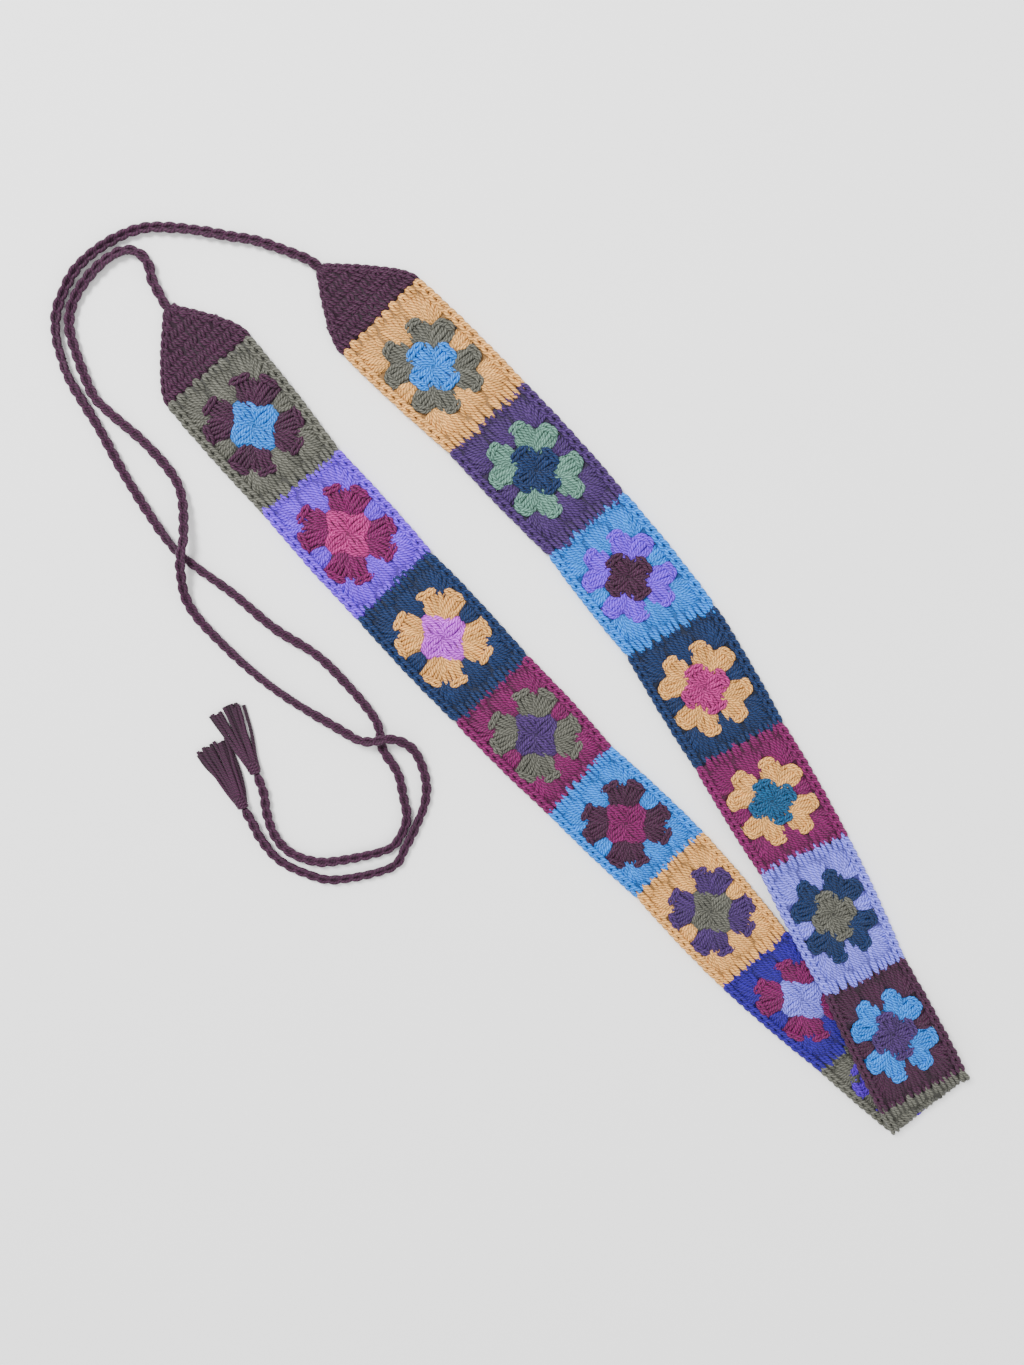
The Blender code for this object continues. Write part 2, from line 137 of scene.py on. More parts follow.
# Where the belt runs, as in the CAD model
def direction(degrees):
    return np.array([math.cos(math.radians(degrees)), math.sin(math.radians(degrees))])


foldLine = direction(fold["turn"])
foldOut = direction(fold["turn"] - 90)
layerRise = belt["thickness"] + belt["layerGap"]
foldRadius = layerRise / 2
foldArc = math.pi * foldRadius


def seam(middle, turn, widthShare):
    return middle, direction(turn) * belt["squareWidth"] * widthShare / 2


def walk(firstSeam, arm):
    seams = [firstSeam]
    for _, heading, lengthShare, turn, widthShare in arm:
        middle = seams[-1][0] + direction(heading) * belt["squareLength"] * lengthShare
        seams.append(seam(middle, turn, widthShare))
    return seams


def unrolled(upperSeam):
    # The same seam in the flat plane of the lower arm, before the belt was folded
    middle, half = upperSeam

    def flat(point):
        return foldLine * (point @ foldLine) + foldOut * (foldArc - point @ foldOut)

    return flat(middle), flat(middle + half) - flat(middle)


upperSeams = walk(
    seam(foldLine * fold["seamShift"] - foldOut * fold["toSeam"], *fold["firstSeam"]), upperArm
)
lowerSeams = walk(unrolled(upperSeams[0]), lowerArm)
lowerEdge = [middle + half for middle, half in lowerSeams]


def rise(points):
    # How far the upper arm's underside is lifted over the lower arm
    nearest = np.full(len(points), np.inf)
    for start, end in zip(lowerEdge, lowerEdge[1:]):
        run = end - start
        share = np.clip((points - start) @ run / (run @ run), 0, 1)
        away = points - (start + run * share[:, None])
        side = run[0] * away[:, 1] - run[1] * away[:, 0]
        distance = np.hypot(*away.T)
        closer = distance < np.abs(nearest)
        nearest[closer] = np.copysign(distance, -side)[closer]
    fall = np.clip((nearest - fold["dropStart"]) / fold["dropRun"], 0, 1)
    return layerRise * (1 - fall * fall * (3 - 2 * fall))


def onLower(points, height):
    return np.column_stack([points, height])


def onUpper(points, height):
    return np.column_stack([points, height + rise(points)])


def roundFold(points, height):
    # The unfolded belt wrapped round the fold
    along = points @ foldLine
    out = points @ foldOut
    angle = np.clip(out / foldArc, 0, 1) * math.pi
    arm = np.maximum(foldRadius + belt["thickness"] / 2 - height, fold["inside"])
    outward = np.where(out <= 0, out, np.where(out >= foldArc, foldArc - out, arm * np.sin(angle)))
    up = belt["thickness"] + belt["layerGap"] / 2 - arm * np.cos(angle)
    up = np.where(out <= 0, height, up)
    up = np.where(out >= foldArc, layerRise + belt["thickness"] - height, up)
    return np.column_stack([along[:, None] * foldLine + outward[:, None] * foldOut, up])


def layOnBelt(nearSeam, farSeam, place, points):
    # From a square's own page to the belt: along and across in metres from its middle, and height
    along = points[:, 0] / (belt["squareLength"] / 2)
    across = points[:, 1] / (belt["squareWidth"] / 2)
    across = across * (1 + belt["edgeSwell"] * (1 - np.clip(along * along, 0, 1)))
    near = nearSeam[0] + nearSeam[1] * across[:, None]
    far = farSeam[0] + farSeam[1] * across[:, None]
    flat = near * (1 - along[:, None]) / 2 + far * (1 + along[:, None]) / 2
    laid = place(flat, points[:, 2])
    laid[:, :2] -= belt["middle"]
    return laid


# One node with its settings and links, for materials and for Geometry Nodes
def addNode(tree, kind, inputs=None, **settings):
    node = tree.nodes.new(kind)
    for name, value in settings.items():
        setattr(node, name, value)
    for socket, value in (inputs or {}).items():
        if isinstance(value, bpy.types.NodeSocket):
            tree.links.new(value, node.inputs[socket])
        else:
            node.inputs[socket].default_value = value
    return node


def linear(hexColour):
    channels = [int(hexColour[place : place + 2], 16) / 255 for place in (1, 3, 5)]
    return [c / 12.92 if c <= 0.04045 else ((c + 0.055) / 1.055) ** 2.4 for c in channels]


# Mercerised cotton, three plies twisted: a soft gleam along each ply, and grooves between them
# darkened with painted shade
cotton = {
    "plies": 3,
    "twistLength": 0.0052,  # one turn of the twist
    "plyBump": 0.00030,
    "fibreSize": 0.00088,  # real fibres are finer, and are drawn this coarse so that they show
    "fibreBump": 0.00008,
    "roughness": 0.62,
    "specular": 0.35,
    "sheen": 0.06,
    "sheenRoughness": 0.4,
    "crestRange": (-1.0, 0.6),  # of the wave: the bottom of a groove, and where the crest begins
    # painted shade: how much darker the colour is in the grooves between plies
    "groovePaintedShade": 0.6,
    "patchScale": 90.0,  # the dye takes a little more in some patches than in others
    "patchLight": 0.24,
    "saturation": 1.12,
}


def cottonYarn(name):
    material = bpy.data.materials.new(name + " mercerised cotton yarn")
    material.use_nodes = True
    tree = material.node_tree
    shader = tree.nodes["Principled BSDF"]
    ply = addNode(tree, "ShaderNodeAttribute", attribute_name="ply")
    shade = addNode(tree, "ShaderNodeAttribute", attribute_name="shade")
    place = addNode(tree, "ShaderNodeTexCoord")
    parts = addNode(tree, "ShaderNodeSeparateXYZ", {0: ply.outputs["Vector"]})
    around = addNode(
        tree, "ShaderNodeMath", {0: parts.outputs[1], 1: parts.outputs[0]}, operation="ARCTAN2"
    )
    turns = addNode(
        tree, "ShaderNodeMath",
        {0: parts.outputs[2], 1: 2 * math.pi / cotton["twistLength"] * cotton["plies"]},
        operation="MULTIPLY",
    )
    phase = addNode(
        tree, "ShaderNodeMath",
        {0: around.outputs[0], 1: cotton["plies"], 2: turns.outputs[0]}, operation="MULTIPLY_ADD",
    )
    wave = addNode(tree, "ShaderNodeMath", {0: phase.outputs[0]}, operation="SINE")
    lowest, highest = cotton["crestRange"]
    crest = addNode(
        tree, "ShaderNodeMapRange",
        {"Value": wave.outputs[0], "From Min": lowest, "From Max": highest},
        interpolation_type="SMOOTHSTEP",
    )
    fibre = addNode(
        tree, "ShaderNodeTexNoise",
        {"Vector": place.outputs["Object"], "Scale": 1 / cotton["fibreSize"], "Detail": 2.0},
    )
    patches = addNode(
        tree, "ShaderNodeTexNoise",
        {"Vector": place.outputs["Object"], "Scale": cotton["patchScale"], "Detail": 1.0},
    )
    # Painted shade: the colour is darkened in the grooves between the plies
    dark = [channel * (1 - cotton["groovePaintedShade"]) for channel in linear(yarnColours[name])]
    colour = addNode(
        tree, "ShaderNodeMix",
        {"Factor": crest.outputs["Result"], 6: (*dark, 1), 7: (*linear(yarnColours[name]), 1)},
        data_type="RGBA",
    )
    # Value: dye patches plus the strand's shade, which holds its random tint and its painted shade
    light = addNode(
        tree, "ShaderNodeMath",
        {0: patches.outputs["Fac"], 1: cotton["patchLight"], 2: shade.outputs["Fac"]},
        operation="MULTIPLY_ADD",
    )
    varied = addNode(
        tree, "ShaderNodeHueSaturation",
        {"Color": colour.outputs[2], "Value": light.outputs[0], "Saturation": cotton["saturation"]},
    )
    tree.links.new(varied.outputs["Color"], shader.inputs["Base Color"])
    plyBump = addNode(
        tree, "ShaderNodeBump",
        {"Height": crest.outputs["Result"], "Distance": cotton["plyBump"], "Strength": 1.0},
    )
    fibreBump = addNode(
        tree, "ShaderNodeBump",
        {
            "Height": fibre.outputs["Fac"], "Distance": cotton["fibreBump"], "Strength": 1.0,
            "Normal": plyBump.outputs["Normal"],
        },
    )
    tree.links.new(fibreBump.outputs["Normal"], shader.inputs["Normal"])
    shader.inputs["Roughness"].default_value = cotton["roughness"]
    shader.inputs["Specular IOR Level"].default_value = cotton["specular"]
    shader.inputs["Sheen Weight"].default_value = cotton["sheen"]
    shader.inputs["Sheen Roughness"].default_value = cotton["sheenRoughness"]
    return material


# Strands: points, each with a radius, joined into lines that Geometry Nodes turns into yarn
yarn = {
    "sides": 6,
    "step": 0.0011,  # between rings of a strand
    "paintedShadeDeepest": 0.3,  # painted shade: share of the colour that is left where a strand lies deepest
    # painted shade: full below this height, fading out over the run that follows
    "paintedShadeBelow": 0.0009,
    "paintedShadeRun": 0.0016,
    "bodyPaintedShade": 0.22,  # painted shade: the fabric behind the strands is kept dark in colour
}


def newStrands():
    return {"points": [], "radius": [], "shade": [], "edges": [], "count": 0}


def addStrand(strands, points, radius, shade=1.0):
    # Where a strand dives between its neighbours its colour is darkened: painted shade
    points = np.asarray(points, float)
    count = len(points)
    deep = np.clip((points[:, 2] - yarn["paintedShadeBelow"]) / yarn["paintedShadeRun"], 0, 1)
    strands["points"].append(points)
    strands["radius"].append(np.broadcast_to(radius, (count,)))
    strands["shade"].append(shade * (yarn["paintedShadeDeepest"] + (1 - yarn["paintedShadeDeepest"]) * deep))
    first = strands["count"] + np.arange(count - 1)
    strands["edges"].append(np.column_stack([first, first + 1]))
    strands["count"] += count


def yarnTree():
    tree = bpy.data.node_groups.new("yarn along strands", "GeometryNodeTree")
    for name, kind in (
        ("Strands", "NodeSocketGeometry"), ("Step", "NodeSocketFloat"),
        ("Sides", "NodeSocketInt"), ("Material", "NodeSocketMaterial"),
    ):
        tree.interface.new_socket(name, in_out="INPUT", socket_type=kind)
    tree.interface.new_socket("Yarn", in_out="OUTPUT", socket_type="NodeSocketGeometry")
    given = addNode(tree, "NodeGroupInput")
    isBody = addNode(tree, "GeometryNodeInputNamedAttribute", {"Name": "body"}, data_type="FLOAT")
    split = addNode(
        tree, "GeometryNodeSeparateGeometry",
        {"Geometry": given.outputs["Strands"], "Selection": isBody.outputs["Attribute"]},
        domain="POINT",
    )
    curve = addNode(tree, "GeometryNodeMeshToCurve", {"Mesh": split.outputs["Inverted"]})
    smooth = addNode(
        tree, "GeometryNodeCurveSplineType", {"Curve": curve.outputs["Curve"]},
        spline_type="CATMULL_ROM",
    )
    evenly = addNode(
        tree, "GeometryNodeResampleCurve",
        {"Curve": smooth.outputs["Curve"], "Length": given.outputs["Step"]}, mode="LENGTH",
    )
    radius = addNode(
        tree, "GeometryNodeInputNamedAttribute", {"Name": "yarnRadius"}, data_type="FLOAT"
    )
    walked = addNode(tree, "GeometryNodeSplineParameter")
    measured = addNode(
        tree, "GeometryNodeStoreNamedAttribute",
        {"Geometry": evenly.outputs["Curve"], "Name": "walked", "Value": walked.outputs["Length"]},
        data_type="FLOAT", domain="POINT",
    )
    ring = addNode(
        tree, "GeometryNodeCurvePrimitiveCircle",
        {"Resolution": given.outputs["Sides"], "Radius": 1.0}, mode="RADIUS",
    )
    ringPlace = addNode(tree, "GeometryNodeInputPosition")
    marked = addNode(
        tree, "GeometryNodeStoreNamedAttribute",
        {"Geometry": ring.outputs["Curve"], "Name": "round", "Value": ringPlace.outputs["Position"]},
        data_type="FLOAT_VECTOR", domain="POINT",
    )
    tube = addNode(
        tree, "GeometryNodeCurveToMesh",
        {"Curve": measured.outputs[0], "Profile Curve": marked.outputs[0],
         "Scale": radius.outputs["Attribute"], "Fill Caps": True},
    )
    roundAgain = addNode(
        tree, "GeometryNodeInputNamedAttribute", {"Name": "round"}, data_type="FLOAT_VECTOR"
    )
    walkedAgain = addNode(
        tree, "GeometryNodeInputNamedAttribute", {"Name": "walked"}, data_type="FLOAT"
    )
    roundParts = addNode(
        tree, "ShaderNodeSeparateXYZ", {0: roundAgain.outputs["Attribute"]}
    )
    plyValue = addNode(
        tree, "ShaderNodeCombineXYZ",
        {0: roundParts.outputs[0], 1: roundParts.outputs[1], 2: walkedAgain.outputs["Attribute"]},
    )
    plied = addNode(
        tree, "GeometryNodeStoreNamedAttribute",
        {"Geometry": tube.outputs["Mesh"], "Name": "ply", "Value": plyValue.outputs[0]},
        data_type="FLOAT_VECTOR", domain="POINT",
    )
    joined = addNode(tree, "GeometryNodeJoinGeometry")
    tree.links.new(plied.outputs[0], joined.inputs[0])
    tree.links.new(split.outputs["Selection"], joined.inputs[0])
    rounded = addNode(tree, "GeometryNodeSetShadeSmooth", {0: joined.outputs[0]})
    real = addNode(tree, "GeometryNodeRealizeInstances", {0: rounded.outputs[0]})
    dyed = addNode(
        tree, "GeometryNodeSetMaterial",
        {"Geometry": real.outputs[0], "Material": given.outputs["Material"]},
    )
    result = addNode(tree, "NodeGroupOutput")
    tree.links.new(dyed.outputs[0], result.inputs[0])
    return tree


def sockets(tree):
    return {item.name: item.identifier for item in tree.interface.items_tree}


def spinYarn(name, strands, body, yarnName):
    # The strands, and the body behind them, as one plain mesh in its yarn
    points = np.vstack(strands["points"] + [part["points"] for part in body])
    edges = np.vstack(strands["edges"])
    faces = []
    start = strands["count"]
    # No strand goes into the floor
    points[:start, 2] = np.maximum(points[:start, 2], np.concatenate(strands["radius"]))
    for part in body:
        faces += (part["faces"] + start).tolist()
        start += len(part["points"])
    lines = bpy.data.meshes.new(name + " strands")
    lines.from_pydata(points.tolist(), edges.tolist(), faces)
    bodyCount = len(points) - strands["count"]
    values = {
        "yarnRadius": np.concatenate(strands["radius"] + [np.zeros(bodyCount)]),
        # The fabric behind the strands is given a dark colour: painted shade
        "shade": np.concatenate(strands["shade"] + [np.full(bodyCount, yarn["bodyPaintedShade"])]),
        "body": np.concatenate([np.zeros(strands["count"]), np.ones(bodyCount)]),
    }
    for key, value in values.items():
        attribute = lines.attributes.new(key, "FLOAT", "POINT")
        attribute.data.foreach_set("value", value.astype(np.float32))
    maker = bpy.data.objects.new(name + " strands", lines)
    bpy.context.scene.collection.objects.link(maker)
    modifier = maker.modifiers.new("yarn", "NODES")
    modifier.node_group = yarnNodes
    names = sockets(yarnNodes)
    modifier[names["Step"]] = yarn["step"]
    modifier[names["Sides"]] = yarn["sides"]
    modifier[names["Material"]] = yarns[yarnName]
    graph = bpy.context.evaluated_depsgraph_get()
    mesh = bpy.data.meshes.new_from_object(maker.evaluated_get(graph))
    mesh.name = name
    bpy.data.objects.remove(maker, do_unlink=True)
    piece = bpy.data.objects.new(name, mesh)
    bpy.context.scene.collection.objects.link(piece)
    if not mesh.materials:
        mesh.materials.append(yarns[yarnName])
    return piece


def dress(piece, yarnName, *nodes):
    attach(piece, "root")
    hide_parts(*nodes)


yarnNodes = yarnTree()
yarns = {name: cottonYarn(name) for name in yarnColours}
print("yarns ready")


def interpolate(stops, walked, rows):
    return np.stack([np.interp(stops, walked, rows[:, axis]) for axis in range(3)], axis=1)


# A smooth curve through a few points, with points of its own evenly along it
def smoothRoute(points, spacing):
    points = np.array(points, float)
    guide = np.vstack([2 * points[0] - points[1], points, 2 * points[-1] - points[-2]])
    fine = []
    for p0, p1, p2, p3 in zip(guide, guide[1:], guide[2:], guide[3:]):
        for t in np.linspace(0, 1, 12, endpoint=False):
            fine.append(
                0.5 * (2 * p1 + (p2 - p0) * t + (2 * p0 - 5 * p1 + 4 * p2 - p3) * t**2
                       + (3 * p1 - p0 - 3 * p2 + p3) * t**3)
            )
    fine = np.array(fine + [points[-1]])
    walked = np.concatenate([[0], np.cumsum(np.linalg.norm(np.diff(fine, axis=0), axis=1))])
    count = max(2, round(walked[-1] / spacing))
    stops = np.linspace(0, walked[-1], count + 1)
    return interpolate(stops, walked, fine)


# A row of chain stitches along a path: each is two legs that open from the stitch before
chain = {
    # along, out, up: shares of the pitch, of the width and of the yarn's radius
    "legs": [
        (-0.30, 0.02, -0.6), (-0.05, 0.16, 0.1), (0.28, 0.30, 0.7),
        (0.62, 0.30, 1.0), (0.95, 0.16, 0.8), (1.18, 0.05, -0.2),
    ],
    "tint": (0.92, 1.08),
    "slip": 0.03,  # of the pitch
    "spread": (0.9, 1.1),
    "tilt": 0.12,  # one leg is this many radii higher and the other lower
}


def pathFrames(path):
    steps = np.gradient(path, axis=0)
    steps /= np.linalg.norm(steps, axis=1)[:, None]
    side = np.column_stack([-steps[:, 1], steps[:, 0], np.zeros(len(path))])
    side /= np.linalg.norm(side, axis=1)[:, None]
    up = np.cross(steps, side)
    walked = np.concatenate([[0], np.cumsum(np.linalg.norm(np.diff(path, axis=0), axis=1))])
    return walked, side, up


def onPath(path, frames, along, out, upward):
    # Past either end the path goes straight on
    walked, side, up = frames
    ends = np.clip(along, 0, walked[-1]) - along
    tangent = (path[-1] - path[-2]) / np.linalg.norm(path[-1] - path[-2])
    begin = (path[1] - path[0]) / np.linalg.norm(path[1] - path[0])
    place = interpolate(along, walked, path)
    place -= np.where((ends < 0)[:, None], tangent, begin) * ends[:, None]
    sideHere = interpolate(along, walked, side)
    upHere = interpolate(along, walked, up)
    return place + sideHere * out[:, None] + upHere * upward[:, None]


def chainRow(strands, path, pitch, width, radius, rng):
    frames = pathFrames(path)
    length = frames[0][-1]
    count = max(1, round(length / pitch))
    pitch = length / count
    legs = np.array(chain["legs"])
    for stitch in range(count):
        tint = rng.uniform(*chain["tint"])
        for side in (-1, 1):
            along = (stitch + legs[:, 0] + rng.normal(0, chain["slip"])) * pitch
            out = legs[:, 1] * width * side * rng.uniform(*chain["spread"])
            up = (legs[:, 2] + chain["tilt"] * side) * radius
            addStrand(strands, onPath(path, frames, along, out, up), radius, tint)


# The ties: a chain cord from each tip, which lies in loose curves on the floor
ties = {
    "pitch": 0.0060,
    "width": 0.0052,
    "radius": 0.00108,
    "twist": 34.0,  # the most that the chain turns on its side, in degrees
    "twistEvery": 0.035,
    "twistPast": 0.05,
    "pointEvery": 0.0012,
    "tint": (0.92, 1.06),
    "spread": (0.92, 1.06),
    "lift": (0.85, 0.1),  # of the chain's legs: their own height times the first, plus the second
    "backRadius": 0.00095,
    # painted shade: the chain's back is darker in colour
    "backPaintedShade": 0.9,
    # The bumps on the chain's back. Along in pitches, out in widths
    "bump": [(-0.25, 0.12), (0.1, -0.1), (0.5, 0.06), (0.9, -0.08), (1.25, 0.1)],
    "coreDrop": 0.15,  # in radii
    # painted shade: the yarn inside the chain is darker in colour
    "corePaintedShade": 0.75,
    "lengths": {"right": 0.588, "left": 0.552},
}
tieRoutes = {
    "right": [
        (-0.1305, 0.2263, 0.0024), (-0.1370, 0.2305, 0.0024), (-0.1590, 0.2380, 0.0024),
        (-0.1735, 0.2405, 0.0024), (-0.1880, 0.2430, 0.0024), (-0.2025, 0.2445, 0.0024),
        (-0.2145, 0.2445, 0.0024), (-0.2265, 0.2410, 0.0024), (-0.2385, 0.2345, 0.0024),
        (-0.2490, 0.2255, 0.0024), (-0.2555, 0.2150, 0.0024), (-0.2595, 0.2045, 0.0024),
        (-0.2600, 0.1935, 0.0024), (-0.2580, 0.1840, 0.0024), (-0.2545, 0.1730, 0.0024),
        (-0.2425, 0.1505, 0.0024), (-0.2275, 0.1215, 0.0024), (-0.2085, 0.0925, 0.0024),
        (-0.1970, 0.0820, 0.0024), (-0.1785, 0.0680, 0.0024), (-0.1580, 0.0500, 0.0024),
        (-0.1365, 0.0360, 0.0024), (-0.1195, 0.0185, 0.0024), (-0.1085, 0.0045, 0.0024),
        (-0.1055, -0.0030, 0.0024), (-0.1050, -0.0090, 0.0024), (-0.1030, -0.0150, 0.0024),
        (-0.0990, -0.0210, 0.0024), (-0.0960, -0.0275, 0.0024), (-0.0940, -0.0385, 0.0024),
        (-0.0925, -0.0495, 0.0024), (-0.0965, -0.0600, 0.0024), (-0.1045, -0.0670, 0.0024),
        (-0.1330, -0.0735, 0.0024), (-0.1460, -0.0720, 0.0024), (-0.1555, -0.0670, 0.0024),
        (-0.1620, -0.0585, 0.0024), (-0.1655, -0.0465, 0.0024), (-0.1665, -0.0365, 0.0024),
        (-0.1695, -0.0270, 0.0024),
    ],
    "left": [
        (-0.2051, 0.2073, 0.0024), (-0.2085, 0.2135, 0.0024), (-0.2120, 0.2205, 0.0024),
        (-0.2130, 0.2260, 0.0024), (-0.2155, 0.2305, 0.0024), (-0.2200, 0.2335, 0.0024),
        (-0.2255, 0.2335, 0.0024), (-0.2330, 0.2300, 0.0024), (-0.2415, 0.2230, 0.0024),
        (-0.2490, 0.2140, 0.0024), (-0.2530, 0.2045, 0.0024), (-0.2530, 0.1930, 0.0024),
        (-0.2450, 0.1680, 0.0024), (-0.2375, 0.1585, 0.0024), (-0.2180, 0.1410, 0.0024),
        (-0.2035, 0.1210, 0.0026), (-0.2010, 0.0980, 0.0062), (-0.2025, 0.0885, 0.0078),
        (-0.2035, 0.0785, 0.0062), (-0.2020, 0.0640, 0.0030), (-0.1920, 0.0495, 0.0024),
        (-0.1615, 0.0210, 0.0024), (-0.1250, -0.0030, 0.0036), (-0.1165, -0.0075, 0.0060),
        (-0.1090, -0.0080, 0.0078), (-0.1015, -0.0065, 0.0078), (-0.0945, -0.0080, 0.0060),
        (-0.0880, -0.0130, 0.0038), (-0.0840, -0.0215, 0.0026), (-0.0820, -0.0315, 0.0024),
        (-0.0830, -0.0415, 0.0024), (-0.0870, -0.0520, 0.0024), (-0.0935, -0.0655, 0.0024),
        (-0.1015, -0.0765, 0.0024), (-0.1300, -0.0830, 0.0024), (-0.1460, -0.0795, 0.0024),
        (-0.1600, -0.0720, 0.0024), (-0.1690, -0.0605, 0.0024), (-0.1730, -0.0520, 0.0024),
        (-0.1765, -0.0455, 0.0024),
    ],
}


def addTie(side, seed):
    rng = np.random.default_rng(seed)
    strands = newStrands()
    path = smoothRoute(tieRoutes[side], ties["pointEvery"])
    walked, across, up = pathFrames(path)
    length = walked[-1]
    # The chain turns on its side and back as it goes
    stops = np.arange(0, length + ties["twistPast"], ties["twistEvery"])
    turns = np.radians(rng.uniform(-ties["twist"], ties["twist"], len(stops)))
    turn = np.interp(walked, stops, turns)[:, None]
    across, up = across * np.cos(turn) + up * np.sin(turn), up * np.cos(turn) - across * np.sin(turn)
    frames = (walked, across, up)
    count = round(length / ties["pitch"])
    pitch = length / count
    legs = np.array(chain["legs"])
    lift = (legs[:, 2] * ties["lift"][0] + ties["lift"][1]) * ties["radius"]
    bump = np.array(ties["bump"])
    drop = np.full(len(bump), -ties["backRadius"])
    for stitch in range(count):
        tint = rng.uniform(*ties["tint"])
        wide = ties["width"] * rng.uniform(*ties["spread"])
        for leg in (-1, 1):
            along = (stitch + legs[:, 0]) * pitch
            out = legs[:, 1] * wide * leg
            addStrand(strands, onPath(path, frames, along, out, lift), ties["radius"], tint)
        # The bumps on the back, darkened with painted shade
        along = (stitch + bump[:, 0]) * pitch
        back = onPath(path, frames, along, bump[:, 1] * wide, drop)
        addStrand(strands, back, ties["backRadius"], tint * ties["backPaintedShade"])
    # Yarn inside the chain, in shadow, closes it; its colour is darkened as painted shade
    core = path[::3] - up[::3] * ties["radius"] * ties["coreDrop"]
    addStrand(strands, core, ties["radius"], ties["corePaintedShade"])
    piece = spinYarn(side + "_tie_yarn", strands, [], endYarn)
    dress(piece, endYarn, side + "_tie")
    # Every fourth point, and the last, say where the tie runs
    told = sorted({*range(0, len(path), 4), len(path) - 1})
    return piece, path[told]


# Tassels: cut strands held by a wound knot
tassel = {
    "turns": {"right": 115.0, "left": 116.0},
    "clearance": 0.0003,
    "length": 0.0345,
    "endWidth": 0.0195,
    "strands": 19,
    "points": 6,  # along each strand
    "radius": 0.00098,
    "root": 0.002,  # how far the strands go into the knot
    "edgeReach": 0.96,  # of the length
    "middleReach": 0.05,  # what the middle has more
    "bulge": 3,
    "cut": (0.95, 1.02),
    "neckShare": 0.16,  # of the end's width
    "opening": 0.9,
    "wander": 0.00035,
    "low": 0.0012,
    "layer": 0.0013,  # the upper strands over the lower ones
    "layerFall": 0.55,
    "neckRise": 0.0012,
    "tint": (0.8, 1.15),
}
knot = {
    "length": 0.0084,
    "width": 0.0066,
    "winds": 4,
    "points": 13,  # round each wind
    "spacing": 0.75,
    "pull": 0.7,  # how deep the winds pull into the strands, in radii
    "slant": 0.0014,
    "narrowing": 0.1,  # towards both ends
    "height": 0.0031,
    "rise": 0.0018,
    "thicker": 1.05,
    "tint": (0.9, 1.1),
}


def addTassel(side, seed):
    rng = np.random.default_rng(seed)
    strands = newStrands()
    turn = tassel["turns"][side]
    run = direction(turn)
    across = direction(turn - 90)
    tieEnd = np.array(tieRoutes[side][-1])
    neck = tieEnd[:2] + run * (tassel["clearance"] + knot["length"] / 2)
    radius = tassel["radius"]
    root = tassel["root"]

    def lay(along, out, height):
        flat = neck + np.outer(along, run) + np.outer(out, across)
        return np.column_stack([flat, height])

    shares = np.linspace(0, 1, tassel["points"])
    spread = tassel["neckShare"] + (1 - tassel["neckShare"]) * shares ** tassel["opening"]
    neckRise = tassel["neckRise"] * (1 - shares) ** 2
    for strand in range(tassel["strands"]):
        out = (2 * strand / (tassel["strands"] - 1) - 1) * (tassel["endWidth"] / 2 - radius)
        bulge = math.cos(out / tassel["endWidth"] * tassel["bulge"])
        reach = tassel["length"] * (tassel["edgeReach"] + tassel["middleReach"] * bulge)
        reach *= rng.uniform(*tassel["cut"])
        wander = np.cumsum(rng.normal(0, tassel["wander"], tassel["points"]))
        layer = strand % 2 * tassel["layer"] * (1 - tassel["layerFall"] * shares)
        points = lay(
            -root + (reach + root) * shares, out * spread + wander, tassel["low"] + layer + neckRise
        )
        addStrand(strands, points, radius, rng.uniform(*tassel["tint"]))
    # The knot is wound across the strands
    angle = np.linspace(0, 2 * math.pi, knot["points"])
    half = knot["width"] / 2 - radius * knot["pull"]
    for wind in range(knot["winds"]):
        away = wind - (knot["winds"] - 1) / 2
        slip = away / (knot["winds"] - 1) * (knot["length"] - 2 * radius) * knot["spacing"]
        along = slip + angle / (2 * math.pi) * knot["slant"]
        out = np.cos(angle) * half * (1 - knot["narrowing"] * abs(away))
        height = knot["height"] + np.sin(angle) * knot["rise"]
        wound = lay(along, out, height)
        addStrand(strands, wound, radius * knot["thicker"], rng.uniform(*knot["tint"]))
    piece = spinYarn(side + "_tassel_yarn", strands, [], endYarn)
    dress(piece, endYarn, side + "_tassel")
    return piece


addCamera()
for side, seed in (("right", 11), ("left", 12)):
    brush = addTassel(side, seed + 20)
    tie, tiePath = addTie(side, seed)
print("ties and tassels made")


# A fan of posts: double crochet worked into one place, opening from its foot to its top
# Along the fan: share of its length, share of its width, height as a share of the crown
leafFan = [(-0.06, 0.34, 0.15), (0.14, 0.54, 0.72), (0.40, 0.86, 0.95),
           (0.64, 1.00, 1.00), (0.84, 0.95, 0.90), (0.98, 0.74, 0.45)]
blockFan = [(-0.06, 0.48, 0.15), (0.12, 0.62, 0.72), (0.36, 0.80, 0.95),
            (0.60, 0.93, 1.00), (0.82, 1.00, 0.88), (0.99, 1.06, 0.45)]
shellFan = [(-0.06, 0.24, 0.15), (0.12, 0.38, 0.72), (0.36, 0.62, 0.95),
            (0.60, 0.82, 1.00), (0.82, 0.95, 0.88), (0.99, 1.04, 0.45)]
starFan = [(-0.06, 0.46, 0.15), (0.12, 0.74, 0.72), (0.36, 1.00, 0.95),
           (0.60, 0.90, 1.00), (0.82, 0.64, 0.88), (0.99, 0.40, 0.45)]
stitches = {
    "postRadius": 0.00112,
    "crown": 0.0042,  # about the top of the highest strand
    "floor": 0.0009,  # where a fan's heights are counted from
    "edgeInset": 0.9,  # from here on in radii
    "lean": (-0.25, 0.35),  # one leg of a post lies lower, the other higher
    "sideDrop": 0.45,  # of the outer posts
    "sink": 0.25,
    "waver": 0.00016,  # in metres again
    "tint": (0.80, 1.12),
}
